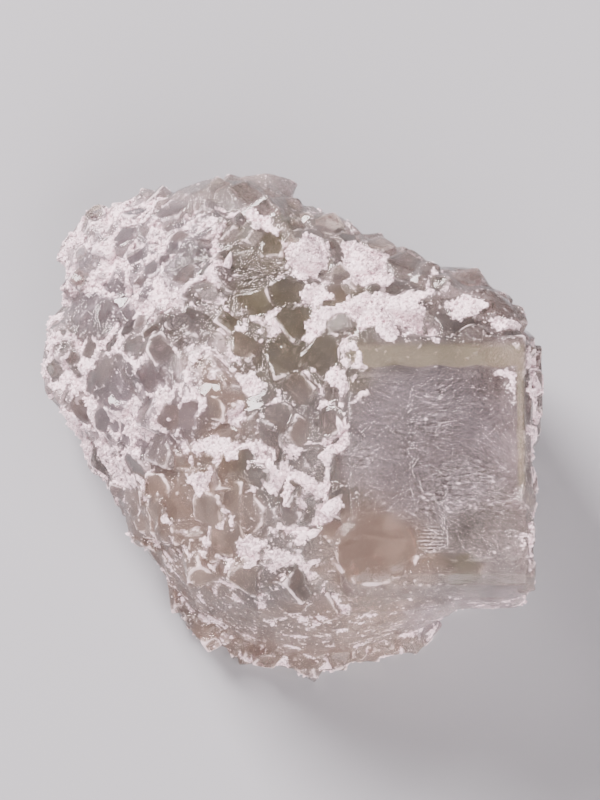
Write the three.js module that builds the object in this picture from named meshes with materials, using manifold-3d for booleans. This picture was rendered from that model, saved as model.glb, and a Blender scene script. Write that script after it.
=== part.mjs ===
// A hand-sized cluster of intergrown fluorite crystals, crusted in patches with drusy quartz.
// It lies on its flat broken back with the crystals facing up.
// Units are millimetres, +Z is up, and the origin is under the middle of the cluster, on the resting face.
// Everything grew together, so the cluster is one solid.
import * as THREE from "three";
import { ConvexGeometry } from "three/addons/geometries/ConvexGeometry.js";
import { mergeVertices } from "three/addons/utils/BufferGeometryUtils.js";
import Module from "manifold-3d";

const wasm = await Module();
wasm.setup();

// ---------- driving dimensions ----------

const FOOT_SHARE = 0.86; // reach of the resting face, as a share of the waist's
const FOOT_Z = -2; // the mass starts this far under the cut that it rests on
const CROWN = { share: 0.45, z: 21.4, slope: 0.04 }; // the top inside the shoulder, rising to the right
const TOP_Z = 21.6; // middle of the top
const INSET = 0.6; // the mass lies this far inside the outline, and crystals fill the rest

const MOSAIC = { directions: 215, lowest: -0.32, side: [3.6, 6.8], proud: [0.25, 0.95] };
const MOSAIC_CUT = [0.12, 0.22];
const MOSAIC_TILT = 7;
const MOSAIC_YAW = { near: 0, far: 42, spread: 28 }; // how the mosaic lines up with its big neighbours
const POINTS = { directions: 260, lowest: 0, radius: [0.7, 1.1], proud: [0.5, 0.9], tilt: 24 };
const DRUSE = { proud: 0.3, root: 1.1, corners: 14, reach: [0.62, 1.12] };

const CLEAN_UP = 0.03; // edges shorter than this are merged after the joins
const FAR = 120; // a distance that is outside the cluster on every side

// ---------- helpers ----------

const radians = (angle) => (angle * Math.PI) / 180;
const headingOf = (x, y) => (Math.atan2(y, x) * 180) / Math.PI;
const UP = new THREE.Vector3(0, 0, 1);

// Seeded random numbers from 0 to 1, the same in each run.
function seededRandom(seed) {
  let state = seed;
  return () => {
    state = (state + 0x6d2b79f5) | 0;
    let t = Math.imul(state ^ (state >>> 15), 1 | state);
    t = (t + Math.imul(t ^ (t >>> 7), 61 | t)) ^ t;
    return ((t ^ (t >>> 14)) >>> 0) / 4294967296;
  };
}

const between = (random, [low, high]) => low + (high - low) * random();

// A unit vector that leans by `lean` degrees from straight up towards a compass heading.
function leaning(lean, heading) {
  const flat = Math.sin(radians(lean));
  return new THREE.Vector3(
    flat * Math.cos(radians(heading)),
    flat * Math.sin(radians(heading)),
    Math.cos(radians(lean)),
  );
}

// The same direction, tilted by up to `tilt` degrees at random.
function tilted(direction, tilt, random) {
  const wobble = new THREE.Vector3(random() - 0.5, random() - 0.5, random() - 0.5);
  return direction.clone().addScaledVector(wobble, 2 * Math.tan(radians(tilt))).normalize();
}

function solidFrom(geometry) {
  const bare = new THREE.BufferGeometry();
  const source = geometry.index ? geometry.toNonIndexed() : geometry;
  bare.setAttribute("position", source.getAttribute("position"));
  const merged = mergeVertices(bare, 1e-4);
  return new wasm.Manifold(
    new wasm.Mesh({
      numProp: 3,
      vertProperties: merged.attributes.position.array,
      triVerts: new Uint32Array(merged.index.array),
    }),
  );
}

function geometryFrom(solid) {
  const { vertProperties, triVerts } = solid.getMesh();
  const geometry = new THREE.BufferGeometry();
  geometry.setAttribute("position", new THREE.BufferAttribute(vertProperties, 3));
  geometry.setIndex(new THREE.BufferAttribute(triVerts, 1));
  geometry.computeVertexNormals();
  return geometry;
}

const join = (solids) => wasm.Manifold.union(solids);

// Turns a geometry by yaw about its own +Z, stands that axis along a normal, and moves it to a point.
function place(geometry, point, normal, yaw) {
  const turn = new THREE.Quaternion().setFromUnitVectors(UP, normal);
  turn.multiply(new THREE.Quaternion().setFromAxisAngle(UP, radians(yaw)));
  const noScale = new THREE.Vector3(1, 1, 1);
  return geometry.applyMatrix4(new THREE.Matrix4().compose(point, turn, noScale));
}

// ---------- the mass ----------

// The outline in plan, anticlockwise from the right: where the waist is widest and how high it lies there,
// then the shoulder above it, as a share of the waist's reach and a height.
const OUTLINE = [
  { waist: [23.2, 4.5, 13], shoulder: [0.9, 21.4] },
  { waist: [21.8, 7.5, 14], shoulder: [0.86, 21.4] },
  { waist: [19.5, 11.5, 14], shoulder: [0.8, 21.2] },
  { waist: [16, 14, 13.5], shoulder: [0.78, 20.6] },
  { waist: [12, 15, 13], shoulder: [0.8, 20] },
  { waist: [7.5, 17.5, 13], shoulder: [0.8, 19.6] },
  { waist: [3, 20, 13], shoulder: [0.82, 19] },
  { waist: [0, 21, 13], shoulder: [0.84, 18.4] },
  { waist: [-5, 24, 12.5], shoulder: [0.84, 17.4] },
  { waist: [-9, 24, 12], shoulder: [0.84, 16.6] },
  { waist: [-12.5, 23, 11], shoulder: [0.84, 15.4] },
  { waist: [-17.5, 22, 9.5], shoulder: [0.82, 14] },
  { waist: [-21, 18.5, 9], shoulder: [0.8, 13.2] },
  { waist: [-21.5, 14, 8.5], shoulder: [0.8, 13.2] },
  { waist: [-23.5, 8.5, 8], shoulder: [0.78, 13.4] },
  { waist: [-23, 3.5, 8], shoulder: [0.78, 14] },
  { waist: [-18.5, -2, 8], shoulder: [0.82, 14.4] },
  { waist: [-15.5, -8, 7], shoulder: [0.84, 14.4] },
  { waist: [-12.5, -14, 5], shoulder: [0.86, 14] },
  { waist: [-8, -18.5, 4], shoulder: [0.87, 15.4] },
  { waist: [-3.5, -20.5, 3.5], shoulder: [0.88, 16.4] },
  { waist: [0, -21.5, 3.5], shoulder: [0.86, 17] },
  { waist: [5, -21.5, 3.5], shoulder: [0.87, 17.6] },
  { waist: [10, -20, 4], shoulder: [0.9, 17.8] },
  { waist: [14.5, -19, 8], shoulder: [0.94, 18.4] },
  { waist: [18.5, -18, 16], shoulder: [0.93, 20.6] },
  { waist: [21, -15.5, 16], shoulder: [0.92, 21] },
  { waist: [22.5, -12, 15], shoulder: [0.93, 21.4] },
  { waist: [22.5, -6, 14], shoulder: [0.93, 21.6] },
  { waist: [22.5, -2.5, 13], shoulder: [0.93, 21.6] },
];

// One side of the mass, from the middle of the foot over the waist to the middle of the top.
function sideProfile(waist, shoulder) {
  const reach = waist.clone().setZ(0);
  const inner = reach.clone().multiplyScalar(1 - INSET / reach.length());
  const ring = (share, z) => inner.clone().multiplyScalar(share).setZ(z);
  const crownZ = CROWN.z + CROWN.slope * inner.x * CROWN.share;
  return new THREE.CatmullRomCurve3(
    [
      ring(FOOT_SHARE, FOOT_Z),
      ring(1, waist.z),
      ring(shoulder.x, shoulder.y),
      ring(CROWN.share, crownZ),
      new THREE.Vector3(0, 0, TOP_Z),
    ],
    false,
    "centripetal",
  );
}

// A globe's grid of points, moved so that its rows climb the side profiles.
function mass() {
  const around = 48;
  const upward = 12;
  const waists = new THREE.CatmullRomCurve3(
    OUTLINE.map(({ waist }) => new THREE.Vector3(...waist)),
    true,
    "centripetal",
  );
  const shoulders = new THREE.CatmullRomCurve3(
    OUTLINE.map(({ shoulder }) => new THREE.Vector3(...shoulder, 0)),
    true,
    "centripetal",
  );
  const globe = new THREE.SphereGeometry(1, around, upward);
  const points = globe.attributes.position;
  for (let column = 0; column <= around; column++) {
    const share = (column % around) / around;
    const profile = sideProfile(waists.getPoint(share), shoulders.getPoint(share));
    const climb = [...profile.getPoints(upward - 1).reverse(), new THREE.Vector3(0, 0, FOOT_Z)];
    climb.forEach(({ x, y, z }, row) => points.setXYZ(row * (around + 1) + column, x, y, z));
  }
  return solidFrom(globe);
}

// ---------- crystals ----------

// A block with cut edges and corners, its top face centred on the origin and its body below.
function crystalBlock([width, depth, height], cutShare) {
  const half = new THREE.Vector3(width / 2, depth / 2, height / 2);
  const cut = cutShare * Math.min(width, depth, height);
  const points = [];
  for (const sx of [-1, 1]) {
    for (const sy of [-1, 1]) {
      for (const sz of [-1, 1]) {
        for (const axis of ["x", "y", "z"]) {
          const point = half.clone().subScalar(cut);
          point[axis] = half[axis];
          points.push(point.multiply(new THREE.Vector3(sx, sy, sz)));
        }
      }
    }
  }
  return new ConvexGeometry(points).translate(0, 0, -half.z);
}

// The same for a small crystal, of which only the top stands out: its edges are cut there and nowhere else.
function buriedBlock([width, depth, height], cutShare) {
  const cut = cutShare * Math.min(width, depth);
  const points = [];
  for (const sx of [-0.5, 0.5]) {
    for (const sy of [-0.5, 0.5]) {
      points.push(new THREE.Vector3(sx * (width - 2 * cut), sy * (depth - 2 * cut), 0));
      points.push(new THREE.Vector3(sx * width, sy * depth, -cut));
      points.push(new THREE.Vector3(sx * width, sy * depth, -height));
    }
  }
  return new ConvexGeometry(points);
}

// at is the middle of the crystal's top face. The crystal leans by `lean` degrees towards the compass
// heading `toward`, or outwards from the middle of the cluster where none is given.
function crystal({ at, size, yaw = 0, lean = 0, toward = headingOf(at[0], at[1]), cut = 0.12 }) {
  const block = crystalBlock(size, cut);
  return solidFrom(place(block, new THREE.Vector3(...at), leaning(lean, toward), yaw));
}

// Two big crystals make most of the face.
const RIGHT_CRYSTAL = {
  at: [13.4, -7.6, 23.2],
  size: [17.6, 23.2, 14],
  yaw: 0.5,
  lean: 5,
  toward: -80,
  cut: 0.06,
};
const CENTRAL_CRYSTAL = {
  at: [0.6, 4.8, 22.4],
  size: [20.5, 16.5, 16],
  yaw: 135,
  lean: 5,
  toward: 175,
  cut: 0.08,
};

// Low steps that the big crystals grew in.
const GROWTH_STEPS = [
  { at: [13.5, 2.1, 24.3], size: [16.4, 3.8, 4], yaw: 0.5, lean: 5.6, toward: -82, cut: 0.05 },
  { at: [16.4, -5.1, 23.55], size: [10.4, 10.8, 4], yaw: 0, lean: 5.2, toward: -82, cut: 0.04 },
  { at: [17.8, -13.1, 22.85], size: [7.8, 8, 4], yaw: 2, lean: 5.8, toward: -80, cut: 0.05 },
  { at: [9, -13.4, 22.95], size: [6.4, 5.4, 4], yaw: -1, lean: 5.6, toward: -82, cut: 0.05 },
  { at: [-3.8, 9.4, 22.2], size: [9, 9.6, 4], yaw: 134, lean: 5.6, toward: 170, cut: 0.05 },
  { at: [-1.2, -1.4, 22.4], size: [6.6, 8.6, 4], yaw: 137, lean: 5, toward: 180, cut: 0.05 },
];

const TOP_EDGE_CRYSTALS = [
  { at: [-5, 22.2, 15.4], size: [9.8, 7.4, 9], yaw: 8, lean: 38, toward: 100, cut: 0.28 },
  { at: [-11, 19.6, 15.2], size: [6.4, 7, 7], yaw: 40, lean: 30, cut: 0.2 },
  { at: [-0.8, 18.6, 17.8], size: [4, 4, 6], yaw: 4, lean: 14, cut: 0.1 },
  { at: [3, 18.4, 15.8], size: [5, 4.8, 6], yaw: 30, lean: 38, cut: 0.24 },
  { at: [7.2, 16.2, 16], size: [5.2, 4.6, 6], yaw: 12, lean: 36, cut: 0.22 },
  { at: [10.8, 13.8, 16.6], size: [6, 5.8, 7], yaw: 30, lean: 38, cut: 0.24 },
  { at: [16.2, 12.2, 16], size: [6.2, 5.6, 7], yaw: 24, lean: 42, cut: 0.24 },
  { at: [19, 8.6, 18.6], size: [6.6, 6.2, 9], yaw: 12, lean: 34, cut: 0.2 },
  { at: [4, 13, 20.4], size: [7, 6.4, 6], yaw: 8, lean: 20, toward: 80, cut: 0.12 },
  { at: [10.6, 9, 21.8], size: [8.4, 6.4, 6], yaw: -4, lean: 20, toward: 85, cut: 0.1 },
  { at: [17, 6.8, 22.2], size: [7.4, 5.6, 6], yaw: 2, lean: 22, toward: 75, cut: 0.1 },
];

const LEFT_CRYSTALS = [
  { at: [-15.4, 21.4, 11.6], size: [6.4, 6, 8], yaw: 22, lean: 44, cut: 0.2 },
  { at: [-19.4, 16.8, 10.8], size: [5.8, 5.4, 7], yaw: 10, lean: 50, cut: 0.22 },
  { at: [-22.6, 8.6, 9.6], size: [4.2, 4.4, 5], yaw: 15, lean: 56, cut: 0.26 },
  { at: [-18, 9.4, 14], size: [5.6, 6, 6], yaw: 36, lean: 28, cut: 0.2 },
  { at: [-16, 3, 15.4], size: [5.8, 6.2, 6], yaw: 42, lean: 22, cut: 0.2 },
  { at: [-12.6, 8.4, 17.4], size: [6.2, 5.6, 6], yaw: 40, lean: 20, cut: 0.18 },
  { at: [-21, 3.4, 10.4], size: [4.8, 5, 6], yaw: 35, lean: 48, cut: 0.2 },
  { at: [-9.4, -2.2, 19.2], size: [6.6, 6, 6], yaw: 40, lean: 14, cut: 0.14 },
];

const LOWER_CRYSTALS = [
  { at: [-9.6, -10, 17], size: [7.4, 6.8, 8], yaw: 4, lean: 22, cut: 0.12 },
  { at: [-3.6, -9.8, 19], size: [6.4, 6.6, 7], yaw: -3, lean: 14, cut: 0.12 },
  { at: [-5.8, -14.8, 16.6], size: [8.8, 5.4, 8], yaw: 2, lean: 28, cut: 0.14 },
  { at: [1, -14.8, 18.6], size: [6.6, 6, 8], yaw: 5, lean: 22, cut: 0.18 },
  { at: [7.2, -15, 20.8], size: [8.6, 9, 9], yaw: 42, lean: 18, toward: -100, cut: 0.28 },
  { at: [15, -17.4, 19.2], size: [8.8, 6, 8], yaw: -4, lean: 40, toward: -85, cut: 0.26 },
  { at: [19, -15.4, 18.8], size: [6, 6.2, 8], yaw: 14, lean: 40, cut: 0.22 },
];

// Narrow plates that grew side by side step down the right side.
const SIDE_PLATES = { count: 7, x: [23.9, 22.6], jitter: 0.8, y: [3.2, -13.6], z: [18.8, 16.6], depth: 5 };
const PLATE_SIZE = { across: [3, 4.8], tall: [8, 16] };

function sidePlates() {
  const random = seededRandom(12);
  return Array.from({ length: SIDE_PLATES.count }, (_, i) => {
    const along = i / (SIDE_PLATES.count - 1);
    const face = THREE.MathUtils.lerp(...SIDE_PLATES.x, along) - SIDE_PLATES.jitter * random();
    const y = THREE.MathUtils.lerp(...SIDE_PLATES.y, along);
    const z = THREE.MathUtils.lerp(...SIDE_PLATES.z, along) + 3 * random();
    const size = [SIDE_PLATES.depth, between(random, PLATE_SIZE.across), between(random, PLATE_SIZE.tall)];
    const at = [face - SIDE_PLATES.depth / 2, y, z];
    return crystal({ at, size, yaw: 8 * (random() - 0.5), lean: 3 + 3 * random(), toward: 0, cut: 0.16 });
  });
}

// A ledge of little crystals follows the foot of the broken side.
const RIM = { count: 15, headings: [-124, -56], outward: [0, 0.6], side: [2.8, 4], top: [2.4, 4.6] };

function rimCrystals(body) {
  const random = seededRandom(5);
  const find = surfaceFinder(body);
  return Array.from({ length: RIM.count }, (_, i) => {
    const heading = THREE.MathUtils.lerp(...RIM.headings, i / (RIM.count - 1));
    const outward = leaning(90, heading);
    const top = between(random, RIM.top);
    const from = outward.clone().multiplyScalar(FAR).setZ(top / 2);
    const at = find(from, outward.clone().negate()).point;
    at.addScaledVector(outward, between(random, RIM.outward)).setZ(top);
    const side = between(random, RIM.side);
    const block = buriedBlock([side, side, 7], 0.2);
    return solidFrom(place(block, at, leaning(8 + 16 * random(), heading), 90 * random()));
  });
}

// ---------- overgrowth ----------

// Finds where a ray first meets a solid: the point and the outward normal, or null.
function surfaceFinder(solid) {
  const geometry = geometryFrom(solid).toNonIndexed();
  geometry.computeVertexNormals();
  const target = new THREE.Mesh(geometry);
  const caster = new THREE.Raycaster();
  return (from, direction) => {
    caster.set(from, direction);
    const [hit] = caster.intersectObject(target);
    return hit ? { point: hit.point, normal: hit.face.normal.clone() } : null;
  };
}

// Directions spread evenly over a dome, from straight up to a little below the horizon.
function domeDirections(count, lowest) {
  const golden = Math.PI * (3 - Math.sqrt(5));
  return Array.from({ length: count }, (_, i) => {
    const z = 1 - ((1 - lowest) * (i + 0.5)) / count;
    const flat = Math.sqrt(1 - z * z);
    return new THREE.Vector3(flat * Math.cos(golden * i), flat * Math.sin(golden * i), z);
  });
}

const DOME_CENTRE = new THREE.Vector3(0, 0, 7);

// Where rays along the dome's directions meet a body, outside the bare places.
function sitesOn(body, count, lowest, isBare) {
  const find = surfaceFinder(body);
  return domeDirections(count, lowest).flatMap((direction) => {
    const from = DOME_CENTRE.clone().addScaledVector(direction, FAR);
    const hit = find(from, direction.clone().negate());
    return hit && !isBare(hit.point) ? [hit] : [];
  });
}

// Whether a point lies over a crystal's top face, at least `margin` inside its edges.
function isOver({ at, size, yaw }, margin, point) {
  const offset = new THREE.Vector2(point.x - at[0], point.y - at[1]);
  offset.rotateAround(new THREE.Vector2(), -radians(yaw));
  return Math.abs(offset.x) < size[0] / 2 - margin && Math.abs(offset.y) < size[1] / 2 - margin;
}

const onBigFace = (point) => isOver(RIGHT_CRYSTAL, -0.5, point) || isOver(CENTRAL_CRYSTAL, 1.5, point);
const onBreak = ({ x, y, z }) => y < -11 && z < 15.5 && x > -16;
const onSidePlates = ({ x, y }) => x > 19.5 && y < 6;
const onLobes = ({ x, y }) => x > 9 && y < -15;

// The mosaic: crystals that barely stand out of the mass, side by side, roughly in line with the big one
// beside them.
function mosaic(body) {
  const random = seededRandom(23);
  const isBare = (point) => [onBigFace, onBreak, onSidePlates, onLobes].some((inside) => inside(point));
  return sitesOn(body, MOSAIC.directions, MOSAIC.lowest, isBare).map(({ point, normal }) => {
    const side = between(random, MOSAIC.side);
    const block = buriedBlock([side, side * (0.8 + 0.4 * random()), side], between(random, MOSAIC_CUT));
    const top = point.clone().addScaledVector(normal, between(random, MOSAIC.proud));
    const yaw = (point.y < -5 ? MOSAIC_YAW.near : MOSAIC_YAW.far) + MOSAIC_YAW.spread * (random() - 0.5);
    return solidFrom(place(block, top, tilted(normal, MOSAIC_TILT, random), yaw));
  });
}

// ---------- drusy quartz ----------

// Main patches: where each lies in plan, its long and short radius, and its turn.
const DRUSE_PATCHES = [
  { at: [9.4, 8.6], radii: [4.4, 2.6], yaw: -20 },
  { at: [16.8, 8], radii: [3.8, 2], yaw: -8 },
  { at: [3, 13.4], radii: [3.1, 2.6], yaw: 10 },
  { at: [-2.8, 16.8], radii: [2.4, 1.8], yaw: 30 },
  { at: [-1.4, -4.6], radii: [3, 1.6], yaw: -42 },
  { at: [-9.8, -2.6], radii: [3, 2.4], yaw: 20 },
  { at: [-17, 9], radii: [2.4, 2.8], yaw: 0 },
];

// A flat plate with a ragged outline, its upper face at z = 0.
function raggedPlate([longRadius, shortRadius], thickness, random) {
  const outline = Array.from({ length: DRUSE.corners }, (_, i) => {
    const angle = (2 * Math.PI * (i + 0.4 * random())) / DRUSE.corners;
    const reach = between(random, DRUSE.reach);
    return new THREE.Vector2(longRadius * reach * Math.cos(angle), shortRadius * reach * Math.sin(angle));
  });
  const plate = new THREE.ExtrudeGeometry(new THREE.Shape(outline), {
    depth: thickness,
    bevelEnabled: false,
  });
  return plate.translate(0, 0, -thickness);
}

function drusePatches(body) {
  const random = seededRandom(7);
  const find = surfaceFinder(body);
  return DRUSE_PATCHES.map(({ at, radii, yaw }) => {
    const { point, normal } = find(new THREE.Vector3(...at, FAR), UP.clone().negate());
    const plate = raggedPlate(radii, DRUSE.proud + DRUSE.root, random);
    return solidFrom(place(plate, point.addScaledVector(normal, DRUSE.proud), normal, yaw));
  });
}

// Quartz points stand thickest on the left and along the top edge.
const pointChance = ({ x, y }) => (x < -10 ? 0.42 : y > 12 ? 0.26 : 0.06);

function quartzPoints(body) {
  const random = seededRandom(31);
  const isBare = (point) => onBigFace(point) || onBreak(point) || random() > pointChance(point);
  return sitesOn(body, POINTS.directions, POINTS.lowest, isBare).map(({ point, normal }) => {
    const radius = between(random, POINTS.radius);
    const tall = 2.6 * radius;
    const cone = new THREE.ConeGeometry(radius, tall, 6).rotateX(Math.PI / 2).translate(0, 0, -tall / 2);
    const tip = point.clone().addScaledVector(normal, between(random, POINTS.proud));
    return solidFrom(place(cone, tip, tilted(normal, POINTS.tilt, random), 60 * random()));
  });
}

// ---------- the cluster ----------

function aboveTheCut() {
  return solidFrom(new THREE.BoxGeometry(FAR, FAR, FAR).translate(0, 0, FAR / 2));
}

function cluster() {
  const core = mass();
  const handPlaced = [
    RIGHT_CRYSTAL,
    CENTRAL_CRYSTAL,
    ...GROWTH_STEPS,
    ...TOP_EDGE_CRYSTALS,
    ...LEFT_CRYSTALS,
    ...LOWER_CRYSTALS,
  ];
  const grown = join([
    core,
    ...mosaic(core),
    ...handPlaced.map(crystal),
    ...sidePlates(),
    ...rimCrystals(core),
  ]);
  const crusted = join([grown, ...drusePatches(grown), ...quartzPoints(grown)]);
  return crusted.intersect(aboveTheCut()).simplify(CLEAN_UP);
}

const fluorite = new THREE.MeshStandardMaterial({ color: 0xa7a79a, roughness: 0.15, metalness: 0 });

const mesh = new THREE.Mesh(geometryFrom(cluster()), fluorite);
mesh.name = "fluorite_cluster";
mesh.geometry.computeBoundingBox();
const middle = mesh.geometry.boundingBox.getCenter(new THREE.Vector3());
mesh.geometry.translate(-middle.x, -middle.y, 0);

const part = new THREE.Group();
part.add(mesh);
export default part;
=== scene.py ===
"""The looks of a cluster of intergrown fluorite crystals with patches of drusy quartz.

Metres, +Z up. The cluster rests on z = 0 with its crystals facing up, and the smooth broken side faces -Y.
Sizes on the stone are written in millimetres.
"""

import math
import random

import bpy
import numpy as np
from mathutils import Matrix, Vector, noise
from mathutils.bvhtree import BVHTree
from mathutils.kdtree import KDTree


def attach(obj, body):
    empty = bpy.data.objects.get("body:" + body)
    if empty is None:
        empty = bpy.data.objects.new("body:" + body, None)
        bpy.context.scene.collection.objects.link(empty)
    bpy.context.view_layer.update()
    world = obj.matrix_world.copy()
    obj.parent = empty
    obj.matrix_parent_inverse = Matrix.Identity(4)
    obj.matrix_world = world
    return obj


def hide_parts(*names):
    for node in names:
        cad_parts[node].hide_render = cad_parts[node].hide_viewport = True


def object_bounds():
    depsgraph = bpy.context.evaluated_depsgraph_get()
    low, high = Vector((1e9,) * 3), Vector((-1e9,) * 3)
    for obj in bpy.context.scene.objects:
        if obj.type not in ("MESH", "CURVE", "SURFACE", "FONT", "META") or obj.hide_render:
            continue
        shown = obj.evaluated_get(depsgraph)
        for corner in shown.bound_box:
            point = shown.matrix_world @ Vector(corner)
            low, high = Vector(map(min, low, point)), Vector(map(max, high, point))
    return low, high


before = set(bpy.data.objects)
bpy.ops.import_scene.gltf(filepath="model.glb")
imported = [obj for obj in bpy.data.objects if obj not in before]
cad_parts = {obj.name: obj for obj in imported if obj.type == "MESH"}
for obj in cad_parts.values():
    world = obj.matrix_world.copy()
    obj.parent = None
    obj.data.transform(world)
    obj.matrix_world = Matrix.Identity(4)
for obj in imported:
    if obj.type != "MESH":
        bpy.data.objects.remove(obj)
CAD_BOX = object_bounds()
NODE = "fluorite_cluster"
MM = 0.001

# The display side is looked at from this far above the horizon, from the broken side.
VIEW_RISE = math.radians(72)

# Resolution of the surfaces while they are shaped, in millimetres, the faces that each piece keeps, and the
# number of tiny quartz crystals.
FINE = 0.15
PIECE_TRIANGLES = 190_000
POINT_COUNT = 3000

# The middle of the stone, and how far out a ray starts that looks for its surface, in metres.
HEART = Vector((0, 0, 0.008))
REACH = 0.1


# ---------- modelling helpers ----------


def only(*pieces):
    """Selects these pieces and nothing else, the first one active."""
    bpy.ops.object.select_all(action="DESELECT")
    for piece in pieces:
        piece.select_set(True)
    bpy.context.view_layer.objects.active = pieces[0]


def finished(piece, kind, **settings):
    """Adds a modifier with its settings and applies it."""
    only(piece)
    modifier = piece.modifiers.new(kind.title(), kind)
    for name, value in settings.items():
        setattr(modifier, name, value)
    bpy.ops.object.modifier_apply(modifier=modifier.name)


def copy_of(piece, name):
    """A copy with its own mesh."""
    twin = piece.copy()
    twin.data = piece.data.copy()
    twin.name = twin.data.name = name
    bpy.context.scene.collection.objects.link(twin)
    return twin


def joined(first, others):
    only(first, *others)
    bpy.ops.object.join()
    return first


def settled(piece):
    """Writes the piece's place into its mesh, so that its object sits at the origin."""
    only(piece)
    bpy.ops.object.transform_apply(location=True, rotation=True, scale=True)
    return piece


def places(piece):
    """The vertices' places, in millimetres, one row each."""
    flat = np.empty(len(piece.data.vertices) * 3)
    piece.data.vertices.foreach_get("co", flat)
    return flat.reshape(-1, 3) / MM


def move_to(piece, points):
    piece.data.vertices.foreach_set("co", (points * MM).ravel())
    piece.data.update()


def outward(piece):
    """The vertices' normals, one row each."""
    flat = np.empty(len(piece.data.vertices) * 3, dtype=np.float32)
    piece.data.vertex_normals.foreach_get("vector", flat)
    return flat.reshape(-1, 3).astype(float)


def delete_where(piece, unwanted):
    """Deletes the vertices that the mask marks, in edit mode."""
    only(piece)
    bpy.ops.object.mode_set(mode="EDIT")
    bpy.ops.mesh.select_mode(type="VERT")
    bpy.ops.mesh.select_all(action="DESELECT")
    bpy.ops.object.mode_set(mode="OBJECT")
    piece.data.vertices.foreach_set("select", unwanted)
    bpy.ops.object.mode_set(mode="EDIT")
    bpy.ops.mesh.delete(type="VERT")
    bpy.ops.object.mode_set(mode="OBJECT")


def fractal(points, size, octaves=3, seed=0):
    """Cloud noise at each point, about -1 to 1, with lumps of about the given size in millimetres."""
    shift = Vector((17.3 * seed, -9.1 * seed, 5.7 * seed))
    return np.array([noise.fractal(Vector(p) + shift, 0.8, 2.1, octaves) for p in points / size])


def ridges(points, size, seed=0):
    """1 on thin curved lines that are about `size` millimetres apart, falling to 0 between them."""
    shift = Vector((-7.7 * seed, 13.9 * seed, 3.1 * seed))
    return np.array([1 - min(1, 3 * abs(noise.noise(Vector(p) + shift))) for p in points / size])


def inside_box(points, spare=0.0):
    """The points, eased inside the solid's own box with this much to spare at its top and sides."""
    low, high = (np.array(corner) / MM for corner in CAD_BOX)
    room = np.array([spare, spare, 0])
    eased = np.clip(points, low + room, high - spare)
    if spare:
        past = np.maximum(points - (high - 3 * spare), 0)
        eased = np.where(past > 0, high - 3 * spare + 2 * spare * np.tanh(past / (2 * spare)), eased)
        short = np.maximum(low + 3 * spare - points, 0)
        side = low + 3 * spare - 2 * spare * np.tanh(short / (2 * spare))
        eased = np.where((short > 0) & (room > 0), side, eased)
    return eased


def smooth_step(low, high, values):
    share = np.clip((values - low) / (high - low), 0, 1)
    return share * share * (3 - 2 * share)


# ---------- where things are on the stone ----------


def display(points):
    """Across and up, in millimetres, as seen square on to the display side."""
    up = points[:, 1] * math.sin(VIEW_RISE) + points[:, 2] * math.cos(VIEW_RISE)
    return np.stack([points[:, 0], up], axis=1)


def inside_oval(seen, oval):
    """1 in the middle of an oval on the display side, 0 on its rim and negative outside.

    An oval is its middle across and up, half its length, half its width and its turn in degrees.
    """
    across, up, half_long, half_short, turn = oval
    angle = math.radians(turn)
    dx, dy = seen[:, 0] - across, seen[:, 1] - up
    along = (dx * math.cos(angle) + dy * math.sin(angle)) / half_long
    over = (dy * math.cos(angle) - dx * math.sin(angle)) / half_short
    return 1 - np.sqrt(along**2 + over**2)


def within(seen, ovals):
    """1 inside the ovals and 0 well outside them."""
    return np.maximum.reduce([smooth_step(-0.25, 0.2, inside_oval(seen, oval)) for oval in ovals])


# The big flat face of the right crystal: its sides in x, its ends in y, and a height that it lies above.
FACE_SIDES = (5.2, 22.4)
FACE_ENDS = (-19.4, 3.2)
FACE_LOWEST = 20.5


def on_right_face(points):
    """1 on the big flat face of the right crystal, fading to 0 at its edges."""
    x, y, z = points.T
    left, right = FACE_SIDES
    near, far = FACE_ENDS
    inside = np.minimum.reduce([x - left, right - x, y - near, far - y, z - FACE_LOWEST])
    return smooth_step(0, 1, inside)


# Smooth bands on that face: where the far one begins in y, the middle of the right one in x, and the near
# end of the right one in y.
FAR_BAND = 0.45
RIGHT_BAND = 21.5
RIGHT_BAND_END = -12


def face_borders(points):
    """1 on the smooth bands along the far and right edges of the right crystal's face, 0 elsewhere."""
    x, y, _ = points.T
    wander = 0.12 * np.sin(x * 1.7)
    far = smooth_step(FAR_BAND, FAR_BAND + 0.25, y + wander)
    beside = smooth_step(0.5, 0.35, np.abs(x - RIGHT_BAND))
    beside = beside * smooth_step(RIGHT_BAND_END, RIGHT_BAND_END + 2, y)
    return on_right_face(points) * np.maximum(far, beside)


# The low clear swelling near the corner of the right crystal's face, as an oval on the display side.
SWELLING = (8.2, -8.6, 3.9, 3.2, 20)

# Smooth clear spots near the same corner, as ovals on the display side.
CLEAR_SPOTS = [
    (14.4, -9.7, 2.4, 0.7, 5),
    (16.4, -10.7, 2.2, 0.9, 25),
    (20, -12.6, 2.6, 1.3, 15),
]


def smooth_skin(points, window):
    """1 on the clear faces of the small crystals, and nearly 1 on other parts that nothing has etched."""
    seen = display(points)
    spots = [0.85 * smooth_step(0, 0.1, inside_oval(seen, oval)) for oval in [SWELLING, *CLEAR_SPOTS]]
    return np.maximum.reduce([window, 0.8 * face_borders(points), *spots])


def swelling_rim(points):
    """1 on the thin white rim of the swelling, on its near side, and 0 elsewhere; it is painted white with
    the edges.
    """
    seen = display(points)
    level = inside_oval(seen, SWELLING) + 0.03 * fractal(points, 1, 2, seed=45)
    middle = SWELLING[1]
    near_side = smooth_step(middle + 0.4, middle - 1, seen[:, 1])
    return near_side * smooth_step(-0.09, -0.04, level) * smooth_step(0.06, 0.01, level)


# The smooth broken side: it lies nearer than this in y, right of this in x and between these heights.
BREAK_FAR = -12.5
BREAK_LEFT = -13
BREAK_FOOT, BREAK_TOP = 4.5, 15.5


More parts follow.
